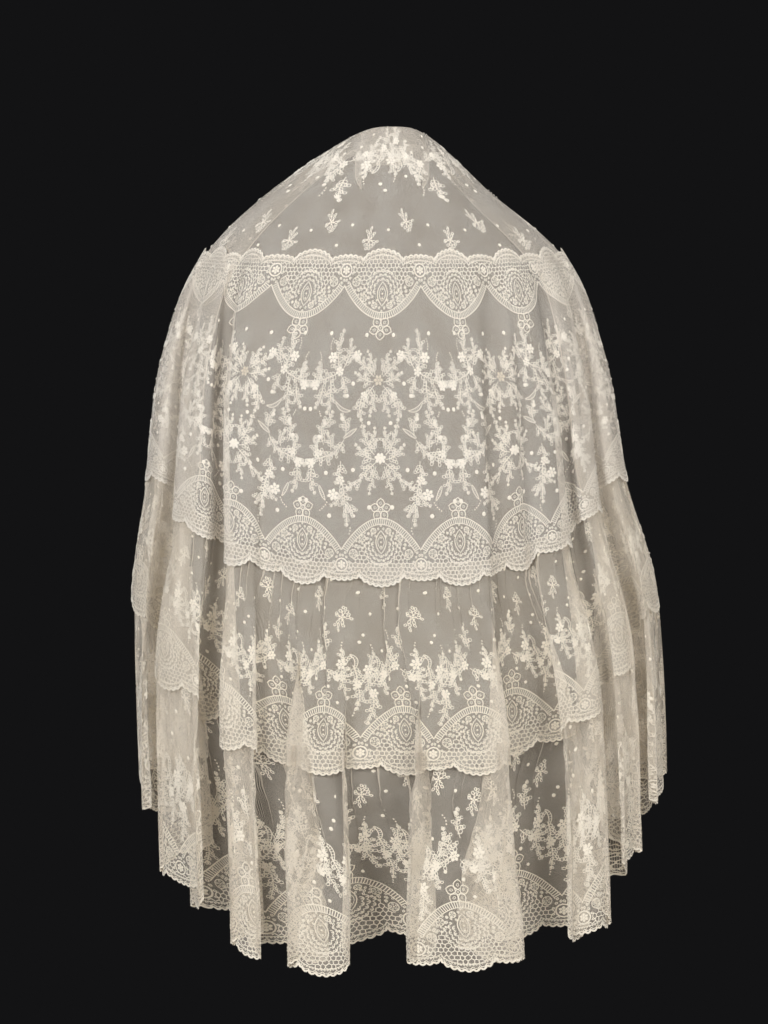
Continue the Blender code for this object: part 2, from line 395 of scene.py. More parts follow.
class Cloth:
    """The net of one piece: a fine grid of points on the drape, and the way to them from the
    flat chart, whose places are a share across and millimetres along."""

    def __init__(self, piece, seed):
        self.piece = piece
        self.width = piece.repeats * REPEAT
        self.random = np.random.default_rng(seed)
        self.plan_gathers()
        self.lay_out()

    def plan_gathers(self):
        gathers, random = self.piece.gathers, self.random
        count = gathers.count
        even = (np.arange(count) + 0.5) / max(count, 1)
        aside = random.uniform(-PLACE_SPREAD, PLACE_SPREAD, count) / max(count, 1)
        self.places = (even + aside) * self.width
        self.overlaps = gathers.overlap * random.uniform(*OVERLAP_SPREAD, count)
        self.reaches = gathers.reach * random.uniform(*REACH_SPREAD, count) ** SHORT_REACHES

    def flat_columns(self):
        even = np.linspace(0, self.width, int(self.width / self.piece.column) + 1)
        offsets = np.array(GATHER_COLUMNS) * GATHER_HALF_WIDTH
        folded = self.places[:, None] + self.overlaps[:, None] * offsets
        columns = np.unique(np.round(np.concatenate([even, folded.ravel()]), 3))
        return columns[(columns >= 0) & (columns <= self.width)]

    def gathered(self, flat, down):
        """The share of the edge's length at flat places, and how far they stand out."""
        share = np.clip(1 - down / self.reaches, 0, 1)[:, None] ** GATHER_TAPER
        half = (GATHER_HALF_WIDTH * self.overlaps)[:, None]
        places = self.places[:, None]
        turned = rise(flat, places - half, places + half)
        taken = 2 * self.overlaps[:, None] * share
        along = flat - (taken * turned).sum(0)
        past = np.clip(flat - places - half, 0, None)
        relief = self.piece.gathers.relief * self.overlaps[:, None] * share
        out = (relief * turned * np.exp(-past / GATHER_FALL)).sum(0)
        return along / (self.width - taken.sum()), out * MM

    def shares_along(self, fine, level):
        """The share of the drape's length there before each wave, and that length."""
        along = lengths_along(drape(fine, level))
        return along / along[-1], along[-1]

    def lay_out(self):
        piece = self.piece
        flat = self.flat_columns()
        self.across = flat / self.width
        rows, normals = [], []
        fine = np.linspace(0, LAST_WAVE, FINE_STEPS + 1)
        at_edge, _ = self.shares_along(fine, piece.bottom)
        for down in np.linspace(0, 1, piece.rows + 1):
            level = piece.top + (piece.bottom - piece.top) * down
            here, length = self.shares_along(fine, level)
            share, out = self.gathered(flat, down)
            wave = np.interp(share, PLUMB * at_edge + (1 - PLUMB) * here, fine)
            out = out + crease_height(wave, level, length / LAST_WAVE)
            for count, phase, part in RIPPLES:
                waves = np.sin(2 * np.pi * count * self.across + phase + RIPPLE_DRIFT * down)
                out = out + piece.ripple * part * waves * rise(down, 0.05, 1)
            normal = outward(wave, level)
            inner = piece.inset + WALL / 2
            rows.append(drape(wave, level) + normal * (out - inner)[:, None])
            normals.append(normal)
        self.points = np.array(rows)
        self.normals = np.array(normals)
        self.top_slope = unit(self.points[0] - self.points[1])
        self.bottom_slope = unit(self.points[-1] - self.points[-2])
        steps = np.linalg.norm(np.diff(self.points, axis=0), axis=-1) / MM
        at_back = np.argmin(np.abs(self.points[-1, :, 0]) + (self.points[-1, :, 1] > 0))
        near = slice(at_back - MIDDLE_COLUMNS, at_back + MIDDLE_COLUMNS)
        self.run = np.concatenate([[0], np.cumsum(steps[:, near].mean(axis=1))])
        self.mean_height = steps.sum(axis=0).mean()

    @property
    def height(self):
        """Length at the back from the upper to the lower line of cusps, in millimetres."""
        return self.run[-1]

    def place(self, across, along, lift):
        """Points in space for shares across the cloth, millimetres down from its upper line
        and millimetres that they are raised."""
        column = np.interp(across, self.across, np.arange(len(self.across)))
        row = np.interp(along, self.run, np.arange(len(self.run)))
        left = np.minimum(column.astype(int), len(self.across) - 2)
        upper = np.minimum(row.astype(int), len(self.run) - 2)
        right_part, lower_part = (column - left)[:, None], (row - upper)[:, None]

        def between(grid):
            top = grid[upper, left] * (1 - right_part) + grid[upper, left + 1] * right_part
            low = grid[upper + 1, left] * (1 - right_part) + grid[upper + 1, left + 1] * right_part
            return top * (1 - lower_part) + low * lower_part

        nearest = np.round(column).astype(int)
        above = np.clip(-along, 0, None)[:, None] * MM
        below = np.clip(along - self.height, 0, None)[:, None] * MM
        points = between(self.points) + unit(between(self.normals)) * lift[:, None] * MM
        return points + self.top_slope[nearest] * above + self.bottom_slope[nearest] * below


def mesh_object(name, points, faces, chart, material):
    """A mesh from arrays, with the flat chart as its UV map."""
    mesh = bpy.data.meshes.new(name)
    corners = faces.shape[1]
    mesh.vertices.add(len(points))
    mesh.vertices.foreach_set("co", points.astype(np.float32).ravel())
    mesh.loops.add(faces.size)
    mesh.loops.foreach_set("vertex_index", faces.astype(np.int32).ravel())
    mesh.polygons.add(len(faces))
    mesh.polygons.foreach_set("loop_start", np.arange(0, faces.size, corners, dtype=np.int32))
    mesh.update(calc_edges=True)
    layer = mesh.uv_layers.new(name="chart")
    layer.data.foreach_set("uv", chart[faces.ravel()].astype(np.float32).ravel())
    mesh.shade_smooth()
    mesh.materials.append(material)
    made = bpy.data.objects.new(name, mesh)
    bpy.context.scene.collection.objects.link(made)
    return made


def net_object(cloth, material):
    """The net: the grid's rows, and two more at each scalloped edge."""
    piece = cloth.piece
    rows = list(cloth.points)
    along = list(cloth.run)
    upper_hang = scallop(cloth.across * piece.top_repeats)[:, None]
    hang = scallop(cloth.across * piece.repeats)[:, None]
    if piece.scalloped_top:
        for share in (0.5, 1.0):
            rows.insert(0, cloth.points[0] + cloth.top_slope * upper_hang * share * MM)
            along.insert(0, -share * LARGE_SCALLOP)
    if piece.scalloped_bottom:
        for share in (0.5, 1.0):
            rows.append(cloth.points[-1] + cloth.bottom_slope * hang * share * MM)
            along.append(cloth.height + share * LARGE_SCALLOP)
    count, wide = len(rows), len(cloth.across)
    chart = np.empty((count, wide, 2))
    chart[..., 0] = cloth.across * cloth.width * MM
    chart[..., 1] = -np.array(along)[:, None] * MM
    corner = (np.arange(count - 1)[:, None] * wide + np.arange(wide - 1)).ravel()
    faces = np.stack([corner, corner + wide, corner + wide + 1, corner + 1], axis=1)
    points = np.array(rows).reshape(-1, 3)
    return mesh_object(piece.node + "_net", points, faces, chart.reshape(-1, 2), material)


# Flat work: motifs in millimetres, each as points and triangles


class Work(NamedTuple):
    """Points are x, y, lift, and the stitch's place along and across its thread."""

    points: np.ndarray
    faces: np.ndarray


THREAD_LIFT = 0.35
RIDGE_LIFT = 0.8
DOT_LIFT = 1.3
HEART_LIFT = 1.5
LEAF_LIFT = 1.1
FINE = 0.95  # width of the fine threads


def evenly(path, lengths, step):
    """A flat path with even steps, whose lengths before its points are given."""
    count = max(int(round(lengths[-1] / step)), 1)
    places = np.linspace(0, lengths[-1], count + 1)
    return np.stack([np.interp(places, lengths, path[:, axis]) for axis in (0, 1)], axis=1)


def rotated(points, degrees):
    """Flat points, turned round the origin."""
    cos, sin = math.cos(math.radians(degrees)), math.sin(math.radians(degrees))
    return points @ np.array([[cos, sin], [-sin, cos]])


def onward(x, y, heading, distance):
    """The place some way from x, y, in a direction in degrees."""
    angle = math.radians(heading)
    return (x + math.cos(angle) * distance, y + math.sin(angle) * distance)


def spokes(x, y, count, turn, distance):
    """Places evenly round a middle, and some way from it, with their headings."""
    for index in range(count):
        heading = turn + 360 * index / count
        yield (*onward(x, y, heading, distance), heading)


def joined(works):
    starts = np.cumsum([0] + [len(work.points) for work in works[:-1]])
    points = np.concatenate([work.points for work in works])
    faces = np.concatenate([work.faces + start for work, start in zip(works, starts)])
    return Work(points, faces)


def moved(work, x=0.0, y=0.0, turn=0.0, mirrored=False):
    """A copy that is mirrored left to right if asked, then turned and moved."""
    points = work.points.copy()
    faces = work.faces
    if mirrored:
        points[:, 0] *= -1
        faces = faces[:, ::-1]
    points[:, :2] = rotated(points[:, :2], turn) + (x, y)
    return Work(points, faces)


def stretched(work, above, below=1.0):
    """A copy whose heights above and below the line of cusps are multiplied."""
    points = work.points.copy()
    points[:, 1] *= np.where(points[:, 1] > 0, above, below)
    return Work(points, work.faces)


def upside_down(work):
    points = work.points.copy()
    points[:, 1] *= -1
    return Work(points, work.faces[:, ::-1])


def thread(path, width, closed=False, ridge=True):
    """A thread along a flat path, as a band with a raised middle or, without a ridge, flat."""
    path = np.asarray(path, float)
    if closed:
        ahead = np.roll(path, -1, axis=0) - np.roll(path, 1, axis=0)
        path, ahead = np.vstack([path, path[:1]]), np.vstack([ahead, ahead[:1]])
    else:
        ahead = np.gradient(path, axis=0)
    side = unit(np.stack([-ahead[:, 1], ahead[:, 0]], axis=1)) * width / 2
    along = lengths_along(path)
    lanes = ((1, THREAD_LIFT), (0, RIDGE_LIFT), (-1, THREAD_LIFT))
    if not ridge:
        lanes = ((1, THREAD_LIFT), (-1, THREAD_LIFT))
    count = len(path)
    columns = []
    for aside, lift in lanes:
        lane = np.empty((count, 5))
        lane[:, :2] = path + side * aside
        lane[:, 2] = lift
        lane[:, 3] = along
        lane[:, 4] = aside
        columns.append(lane)
    faces = []
    for lane in range(len(lanes) - 1):
        first = np.arange(count - 1) + lane * count
        after = first + count
        faces.append(np.stack([first, after, after + 1], axis=1))
        faces.append(np.stack([first, after + 1, first + 1], axis=1))
    return Work(np.concatenate(columns), np.concatenate(faces))


def fan(outline, middle, lift):
    """A solid raised shape: an outline and its raised middle."""
    outline = np.asarray(outline, float)
    count = len(outline)
    points = np.zeros((count + 1, 5))
    points[:count, :2] = outline
    points[:count, 2] = THREAD_LIFT
    points[count, :2] = middle
    points[count, 2] = lift
    ring = np.arange(count)
    faces = np.stack([np.full(count, count), ring, np.roll(ring, -1)], axis=1)
    return Work(points, faces)


def round_path(x, y, width, height, sides, turn=0.0, start=0.0):
    """An ellipse round a middle, turned by degrees."""
    angle = np.linspace(0, 2 * np.pi, sides, endpoint=False) + start
    flat = np.stack([np.cos(angle) * width / 2, np.sin(angle) * height / 2], axis=1)
    return rotated(flat, turn) + (x, y)


def dot(x, y, radius, sides, lift=DOT_LIFT):
    return fan(round_path(x, y, 2 * radius, 2 * radius, sides), (x, y), lift)


def pointed_path(x, y, heading, length, width, sides):
    """An outline with points at both ends, like a leaf, from its stalk at x, y."""
    along = np.linspace(0, 1, sides + 1)
    half = width / 2 * np.sin(np.pi * along) ** 0.8
    upper = np.stack([along * length, half], axis=1)
    lower = np.stack([along[-2:0:-1] * length, -half[-2:0:-1]], axis=1)
    flat = np.vstack([upper, lower])
    return rotated(flat, heading) + (x, y)


def leaf(x, y, heading, length, width):
    """A small solid leaf or petal."""
    outline = pointed_path(x, y, heading, length, width, 3)
    return fan(outline, outline.mean(axis=0), LEAF_LIFT)


def loop(x, y, heading, length, width, line, sides):
    """A chain stitch: an open loop from x, y."""
    middle = onward(x, y, heading, length / 2)
    path = round_path(*middle, length - line, width - line, sides, heading, np.pi)
    return thread(path, line, closed=True, ridge=False)


def daisy(x, y, radius, petals, turn):
    """A solid flower with a raised heart."""
    works = [dot(x, y, radius * 0.3, 6, HEART_LIFT)]
    for spoke in spokes(x, y, petals, turn, radius * 0.22):
        works.append(leaf(*spoke, radius * 0.82, radius * 0.62))
    return joined(works)


def open_flower(x, y, radius, petals, turn, line):
    """A flower of outlined petals, each with a small loop inside, round a ring."""
    works = [thread(round_path(x, y, radius * 0.42, radius * 0.42, 8), 0.9, closed=True)]
    works.append(dot(x, y, radius * 0.08, 5))
    feet = spokes(x, y, petals, turn, radius * 0.2)
    hearts = spokes(x, y, petals, turn, radius * 0.42)
    for foot, heart in zip(feet, hearts):
        petal = pointed_path(*foot, radius * 0.86, radius * 0.76, 5)
        works.append(thread(petal, line, closed=True))
        works.append(loop(*heart, radius * 0.36, radius * 0.26, 0.7, 5))
    return joined(works)


def ringed_daisy(x, y, radius):
    """A solid flower in a heavy ring, with clear net between them."""
    ring = thread(round_path(x, y, 2 * radius, 2 * radius, 12), 1.7, closed=True)
    return joined([ring, daisy(x, y, radius * 0.7, 6, 30)])


def rosette(x, y, radius, holes, line):
    """A ring round a wheel of loops."""
    works = [thread(round_path(x, y, 2 * radius, 2 * radius, 14), line, closed=True)]
    works.append(dot(x, y, radius * 0.2, 6))
    for spoke in spokes(x, y, holes, 30, radius * 0.28):
        works.append(loop(*spoke, radius * 0.62, radius * 0.5, 0.7, 6))
    return joined(works)


# The border: an arch of ladders over a medallion, down to a scalloped, corded edge

ARCH_TOP = 62.0
ARCH_FOOT = 26.0
ARCH_ROUNDNESS = 0.85
LADDER_WIDTH = 7.0
RUNG_PITCH = 2.7
FLOWER_HEIGHT = 71.5
FLOWER_RADIUS = 12.0
MEDALLION = (0.0, 35.0)
MEDALLION_LENGTH = 26.0
MEDALLION_WIDTH = 12.4
MEDALLION_LINES = ((1.0, 1.15), (0.62, 0.8))  # size and width of its outlines
SCALE_ROWS = (9.2, 13.4, 17.6)  # radii of the rows of scales
SCALE_PITCH = 5.4
SCALE_BULGE = 2.6
SCALE_DROP = 4  # from the medallion's middle down to the rows'
SCALE_HEIGHT = 1.12  # of a row for its breadth
FILLING_ROSETTES = ((33.5, 22.0, 4.8), (22.5, 39.5, 4.0), (9.0, 47.5, 3.2))  # x, y and radius
FILLING_ROWS = ((10.0, 3.6, 3.4), (13.6, 3.8, 3.5), (17.0, 3.6, 3.6))  # inside, size and gap
FILLING_CLEARS = (7.5, 15)  # half breadth and height kept clear round the medallion
CELL_PITCH = 5.2
CELL_UNEVENNESS = 0.55
CUSP_ROSETTE = (REPEAT / 2, 9.6, 7.2)  # x, y and radius
PICOT = 7.2
PICOT_DEPTH = 2.6


def arch(x):
    """Height of the ladder's outer rail over a repeat, whose middle is at x = 0."""
    across = np.clip(np.abs(x) / (REPEAT / 2), 0, 1)
    return ARCH_FOOT + (ARCH_TOP - ARCH_FOOT) * np.cos(np.pi / 2 * across) ** ARCH_ROUNDNESS


def arch_path(inside, step):
    """Points along the arch, some way inside it, with even steps."""
    fine = np.linspace(-REPEAT / 2, REPEAT / 2, 241)
    rail = np.stack([fine, arch(fine)], axis=1)
    ahead = unit(np.gradient(rail, axis=0))
    rail = rail + np.stack([ahead[:, 1], -ahead[:, 0]], axis=1) * inside
    rail = rail[np.abs(rail[:, 0]) <= REPEAT / 2]
    return evenly(rail, lengths_along(rail), step)


def ladder():
    works = [thread(arch_path(0, 3.2), 1.1), thread(arch_path(LADDER_WIDTH, 3.4), 1.0)]
    outer = arch_path(0.2, RUNG_PITCH)
    inner = arch_path(LADDER_WIDTH, 0.5)
    ahead = unit(np.gradient(outer, axis=0))
    across = np.stack([ahead[:, 1], -ahead[:, 0]], axis=1)
    for start, toward in zip(outer[1:-1], across[1:-1]):
        aims = inner - (start + toward * LADDER_WIDTH)
        end = inner[np.argmin((aims**2).sum(axis=1))]
        works.append(thread([start, end], 1.05, ridge=False))
        works.append(dot(*start, 0.95, 5, 1.2))
    return joined(works)


def inside_arch(x, y, margin):
    """Whether a point lies under the arch by a margin, measured roughly across it."""
    slope = arch(x + 0.5) - arch(x - 0.5)
    return (arch(x) - y) / np.sqrt(1 + slope**2) > margin


def filling():
    """Rows of loops and small rosettes that follow the arch inside the ladder."""
    works = []
    for x, y, radius in FILLING_ROSETTES:
        for side in (-1, 1):
            works.append(rosette(side * x, y, radius, 5, 1.0))
    for inside, size, gap in FILLING_ROWS:
        path = arch_path(inside, gap)
        ahead = unit(np.gradient(path, axis=0))
        for index, (point, toward) in enumerate(zip(path, ahead)):
            near = any(
                math.hypot(abs(point[0]) - x, point[1] - y) < radius + 1.4
                for x, y, radius in FILLING_ROSETTES
            )
            low = point[1] < -scallop(point[0] / REPEAT + 0.5) + 5
            aside, above = (point - MEDALLION) / FILLING_CLEARS
            if near or low or math.hypot(aside, above) < 1:
                continue
            heading = math.degrees(math.atan2(toward[1], toward[0])) + (75 if index % 2 else -75)
            works.append(loop(*(point - 0.5 * toward), heading, size, size * 0.72, FINE, 6))
    return joined(works)


def medallion():
    """A pointed oval with dots, and rows of scales round its lower side."""
    x, y = MEDALLION
    works = []
    for size, line in MEDALLION_LINES:
        length = MEDALLION_LENGTH * size
        outline = pointed_path(x, y - length / 2, 90, length, MEDALLION_WIDTH * size, 7)
        works.append(thread(outline, line, closed=True))
    for height in (-5.0, 0.0, 5.0):
        works.append(dot(x, y + height, 1.15, 6))
    arc = np.linspace(-1, 1, 6)
    for row, radius in enumerate(SCALE_ROWS):
        count = int(round(2 * np.pi * radius / SCALE_PITCH))
        for index in range(count):
            middle = 360 * (index + 0.5 * (row % 2)) / count
            span = np.radians(middle + 180 / count * arc)
            bulge = radius + SCALE_BULGE * np.cos(arc * np.pi / 2)
            down = SCALE_DROP + bulge * np.cos(span) * SCALE_HEIGHT
            path = np.stack([x + bulge * np.sin(span), y - down], axis=1)
            if path[:, 1].max() > y + 4 or not inside_arch(*path.T, 10.5).all():
                continue
            if path[:, 1].min() < -scallop(path[:, 0] / REPEAT + 0.5).min() + 3:
                continue
            works.append(thread(path, FINE, ridge=False))
            between_ends = (path[0] + path[-1]) / 2
            outward_x, outward_y = between_ends - (x, y - SCALE_DROP)
            heading = math.degrees(math.atan2(outward_y, outward_x))
            works.append(loop(*between_ends, heading, 2.8, 2.0, 0.8, 5))
    return joined(works)


def in_ground(x, y):
    """Whether a point lies in the ground of cells round the medallion's foot."""
    under = -scallop(x / REPEAT + 0.5) + 4.6
    far = np.hypot(x, (y - MEDALLION[1] + SCALE_DROP) / SCALE_HEIGHT) > 20
    clear = np.hypot(np.abs(x) - REPEAT / 2, y - CUSP_ROSETTE[1]) > CUSP_ROSETTE[2] + 1.0
    ground = far & inside_arch(x, y, 18) | (np.abs(x) < 28) & (y < MEDALLION[1] - 21)
    return (y > under) & clear & ground & (np.abs(x) <= REPEAT / 2)


def ground_of_cells():
    """Threads between neighbouring corners of uneven six-sided cells."""
    side = CELL_PITCH / math.sqrt(3)
    works = []
    for row in range(-4, 10):
        for column in range(-11, 12):
            turn = np.radians((30, 90, 150, 210))
            x = (column + row % 2 / 2) * CELL_PITCH + side * np.cos(turn)
            y = row * side * 1.5 + side * np.sin(turn)
            keep = in_ground(x, y)
            uneven_x = CELL_UNEVENNESS * np.sin(1.7 * x + 2.3 * y)
            uneven_y = CELL_UNEVENNESS * np.sin(2.1 * x - 1.3 * y)
            corners = np.stack([x + uneven_x, y + uneven_y], axis=1)
            for first in range(3):
                if keep[first] and keep[first + 1]:
                    works.append(thread(corners[first : first + 2], 1.0, ridge=False))
    return joined(works)


def edge_path(rise_in, step, picots):
    """The scalloped edge, or a line some way above it, with its small picots."""
    fine = np.linspace(-REPEAT / 2, REPEAT / 2, 385)
    line = np.stack([fine, -scallop(fine / REPEAT + 0.5) + rise_in], axis=1)
    lengths = lengths_along(line)
    if picots:
        count = round(lengths[-1] / PICOT)
        bump = np.abs(np.sin(np.pi * count * lengths / lengths[-1]))
        line[:, 1] -= PICOT_DEPTH * bump
    return evenly(line, lengths, step)


def edge():
    works = [
        thread(edge_path(0.6, 1.7, True), 2.3),
        thread(edge_path(2.9, 2.4, True), 1.0),
        thread(edge_path(5.4, 3.2, False), 0.9),
    ]
    path = edge_path(3.4, 2.9, False)
    for point in path[:-1]:
        works.append(loop(*point, 90, 2.3, 2.2, 0.8, 5))
    return joined(works)


CUSP_LOOPS = (  # x, y and how far they lean
    (2.2, 18.5, 20),
    (7.4, 17.0, 50),
    (11.0, 12.5, 80),
    (5.4, 21.5, 30),
    (11.6, 6.4, 100),
)


def border():
    """One repeat, from x = -48 to 48, with the cusps' line at y = 0."""
    works = [ladder(), filling(), medallion(), ground_of_cells(), edge()]
    works.append(open_flower(0, FLOWER_HEIGHT, FLOWER_RADIUS, 5, 90, 1.2))
    x, y, radius = CUSP_ROSETTE
    works.append(ringed_daisy(x, y, radius))
    for aside, height, lean in CUSP_LOOPS:
        for side in (-1, 1):
            works.append(loop(x + side * aside, height, lean * side + 90, 3.8, 2.8, 1.0, 6))
    return joined(works)


# Sprays: stems with chain-stitch leaves


class Branch(NamedTuple):
    """A stem: its foot, heading in degrees, length, the degrees that it bends, and leaf size.
    A stem of knots has no leaves."""

    x: float
    y: float
    heading: float
    length: float
    bend: float
    leaf: float = 0.0


class Spot(NamedTuple):
    """The middle and radius of a flower or a dot."""

    x: float
    y: float
    radius: float


LEAF_PITCH = 4.7
BEAD_PITCH = 3.1
RIB_PITCH = 2.4


def stem_path(branch, step):
    count = max(int(round(branch.length / step)), 2)
    turns = np.radians(branch.heading + branch.bend * (np.arange(count) + 0.5) / count)
    steps = np.stack([np.cos(turns), np.sin(turns)], axis=1) * branch.length / count
    return np.vstack([[branch.x, branch.y], np.cumsum(steps, axis=0) + (branch.x, branch.y)])


def leafy(branch):
    """A stem with open leaves on both sides, larger and in twos toward its foot."""
    path = stem_path(branch, LEAF_PITCH)
    works = [thread(path, FINE, ridge=False)]
    ahead = np.degrees(np.arctan2(*np.gradient(path, axis=0).T[::-1]))
    last = len(path) - 1
    for index in range(1, last + 1):
        done = index / last
        for side in (-1, 1):
            uneven = (index * 2 + (side > 0) * 3) % 5 - 2
            size = branch.leaf * (1.38 - 0.5 * done + 0.07 * uneven)
            heading = ahead[index] + side * (60 - 26 * done + 7 * uneven)
            works.append(loop(*path[index], heading, size, size * 0.78, FINE, 6))
            if done < 0.8:
                tip = onward(*path[index], heading, size * 0.8)
                outer = heading + side * (30 if uneven > 0 else -34)
                works.append(loop(*tip, outer, size * 0.92, size * 0.74, FINE, 5))
    works.append(loop(*path[-1], ahead[-1], branch.leaf, branch.leaf * 0.7, FINE, 6))
    return joined(works)


def beaded(branch):
    """A stem of small knots."""
    return joined([dot(*point, 1.0, 5) for point in stem_path(branch, BEAD_PITCH)[1:]])


def ribbed_leaf(branch):
    """A long curved leaf with an outline and ribs."""
    path = stem_path(branch, RIB_PITCH)
    ahead = unit(np.gradient(path, axis=0))
    aside = np.stack([-ahead[:, 1], ahead[:, 0]], axis=1)
    width = branch.leaf * np.sin(np.pi * np.linspace(0.04, 1, len(path)))[:, None] ** 0.7
    far = path + aside * width
    works = [thread(path, FINE, ridge=False), thread(far, FINE, ridge=False)]
    for near_point, far_point in zip(path[1:-1], far[1:-1]):
        works.append(thread([near_point, far_point], 0.6, ridge=False))
    return joined(works)


def spray(stems, beads, ribs, flowers, dots):
    works = [leafy(stem) for stem in stems]
    works += [beaded(stem) for stem in beads]
    works += [ribbed_leaf(rib) for rib in ribs]
    works += [daisy(flower.x, flower.y, flower.radius, 6, 17 * flower.x) for flower in flowers]
    works += [dot(*knot, 9, HEART_LIFT) for knot in dots]
    return joined(works)


GARLAND_STEMS = rows_of(
    Branch,
    (-1, 107, 120, 27, -16, 4.6),
    (8, 124, 104, 28, -34, 4.8),
    (3, 104, -36, 24, 14, 4.6),
    (19, 94, 22, 16, 22, 4.2),
    (28, 106, 84, 17, 20, 4.0),
    (26, 106, -96, 34, 34, 4.8),
    (37, 108, -56, 26, -50, 4.2),
    (-2, 107, 192, 26, 40, 4.6),
    (-21, 97, -112, 20, 54, 4.2),
    (-25, 99, 178, 18, 24, 4.4),
    (-38, 102, 100, 18, -30, 4.0),
    (-41, 100, -104, 26, 42, 4.4),
    (-38, 86, 40, 44, 30, 5.0),
    (-36, 78, -80, 34, -34, 4.8),
    (43, 84, -68, 24, -46, 4.2),
)
GARLAND_BEADS = rows_of(
    Branch,
    (-8, 135, 74, 13, 46),
    (28, 124, 110, 10, -50),
    (-37, 121, 70, 10, 50),
    (-39, 40, -80, 7, 30),
    (41, 60, -84, 9, -30),
)
GARLAND_RIBS = rows_of(
    Branch,
    (-34, 118, -58, 18, -54, 3.4),
    (34, 120, -48, 18, -56, 3.4),
)
GARLAND_FLOWERS = rows_of(
    Spot,
    (25, 109, 6.6),
    (-42, 103, 6.2),
    (-3, 107, 5.6),
    (20, 94, 4.8),
    (-35, 76, 5.8),
    (-22, 97, 5.2),
    (43, 86, 5.0),
)
GARLAND_DOTS = rows_of(
    Spot,
    (8, 84, 2.1),
    (18, 66, 2.0),
    (-24, 124, 2.0),
    (8, 150, 2.1),
    (-12, 92, 2.0),
    (45, 134, 2.1),
    (-46, 142, 2.0),
)

SPRIG_LEAVES = (  # x, y, heading and length
    (0, 3, 90, 5.2),
    (1.6, 5, 48, 5.2),
    (-1.6, 5, 134, 5.0),
    (0.4, 8, 72, 4.8),
    (-0.8, 9, 116, 4.4),
    (3, 1, 8, 5.2),
    (4, 2.4, 48, 4.6),
    (7.4, 1, -16, 4.2),
    (-3, 1, 168, 5.0),
    (-5, 1.4, 124, 4.6),
    (1.4, -3, -58, 5.0),
    (-1, -3, -112, 5.2),
    (-0.4, -6.4, -92, 4.8),
    (2.6, -7, -42, 4.6),
    (-3, -8, -134, 4.6),
    (-1, -10.6, -76, 4.4),
    (0.6, -13.4, -100, 3.6),
)
SPRIG_LEAF_BREADTH = 0.76  # of its length
SPRIG_PLACES = ((-16, 184, 10), (30, 162, -12))  # x, y and turn
SPRIG_DOTS = ((7, 172), (-38, 166), (42, 190), (12, 204))


def garland():
    return spray(GARLAND_STEMS, GARLAND_BEADS, GARLAND_RIBS, GARLAND_FLOWERS, GARLAND_DOTS)


def sprigs():
    leaves = [loop(*row, row[3] * SPRIG_LEAF_BREADTH, 1.0, 6) for row in SPRIG_LEAVES]
    one = joined(leaves + [daisy(0, 0, 4.0, 5, 20)])
    works = [moved(one, x, y, turn) for x, y, turn in SPRIG_PLACES]
    works += [dot(x, y, 2.0, 9, HEART_LIFT) for x, y in SPRIG_DOTS]
    return joined(works)


PANEL_STEMS = rows_of(
    Branch,
    (54, 226, 66, 48, 40, 5.2),
    (50, 232, 126, 32, -44, 4.8),
    (57, 226, -24, 42, 10, 5.0),
    (78, 212, -100, 26, 50, 4.8),
    (67, 216, -104, 34, 34, 5.0),
    (53, 224, -130, 24, 44, 4.4),
    (88, 212, 112, 24, -34, 4.4),
    (79, 220, 58, 16, 24, 4.0),
    (5, 224, 78, 28, -20, 4.0),
    (6, 222, 44, 36, -10, 4.6),
    (7, 216, 4, 26, 36, 4.4),
    (6, 212, -44, 24, -22, 4.6),
    (22, 200, -62, 26, -44, 4.8),
    (5, 206, -84, 28, 18, 4.2),
    (6, 136, 76, 26, 26, 4.0),
    (7, 133, 44, 34, 44, 4.6),
    (7, 128, 6, 28, 56, 4.4),
    (6, 124, -34, 26, -20, 4.6),
    (5, 120, -70, 30, -6, 4.0),
    (24, 108, -60, 20, 50, 4.0),
    (46, 150, -60, 26, 24, 4.4),
    (57, 134, -14, 40, -8, 5.0),
    (63, 138, 100, 18, -40, 4.2),
    (80, 132, 70, 18, 16, 4.0),
    (86, 120, -76, 30, -40, 4.8),
    (72, 144, 62, 26, 50, 4.8),
    (76, 164, 168, 22, -76, 4.4),
    (44, 156, 104, 22, -54, 4.6),
    (50, 126, -98, 24, 38, 4.4),
    (48, 104, -102, 48, 8, 4.8),
    (44, 92, -58, 22, 24, 4.2),
    (41, 80, -128, 16, 20, 4.0),
)
PANEL_BEADS = rows_of(
    Branch,
    (71, 251, 66, 15, 50),
    (84, 238, 100, 12, -50),
    (65, 82, -72, 16, 40),
    (38, 54, -112, 10, 50),
    (22, 172, -84, 8, 30),
    (80, 184, -100, 8, -20),
)
PANEL_RIBS = rows_of(
    Branch,
    (57, 193, -132, 22, -42, 4.0),
    (47, 152, 128, 21, 40, 4.0),
    (76, 98, -130, 19, 30, 3.8),
    (32, 246, 14, 19, -54, 3.8),
)
PANEL_FLOWERS = rows_of(
    Spot,
    (67, 244, 7.2),
    (0, 218, 6.6),
    (31, 247, 6.2),
    (55, 228, 6.2),
    (59, 88, 7.2),
    (1, 129, 6.6),
    (50, 104, 5.8),
    (88, 211, 6.2),
    (88, 122, 6.2),
    (20, 200, 5.2),
    (79, 134, 5.4),
)
PANEL_DOTS = rows_of(
    Spot,
    (35, 214, 2.7),
    (43, 200, 2.6),
    (49, 174, 2.7),
    (14, 169, 2.5),
    (78, 152, 2.7),
    (20, 270, 2.7),
    (75, 272, 2.7),
    (92, 184, 2.6),
    (68, 112, 2.6),
    (34, 116, 2.6),
    (14, 74, 2.7),
    (63, 64, 2.7),
    (92, 80, 2.7),
    (72, 168, 2.5),
)


def panel_sprays():
    """From the middle of one medallion, at x = 0, to the middle of the next."""
    return spray(PANEL_STEMS, PANEL_BEADS, PANEL_RIBS, PANEL_FLOWERS, PANEL_DOTS)


# Laying the flat work on the cloth


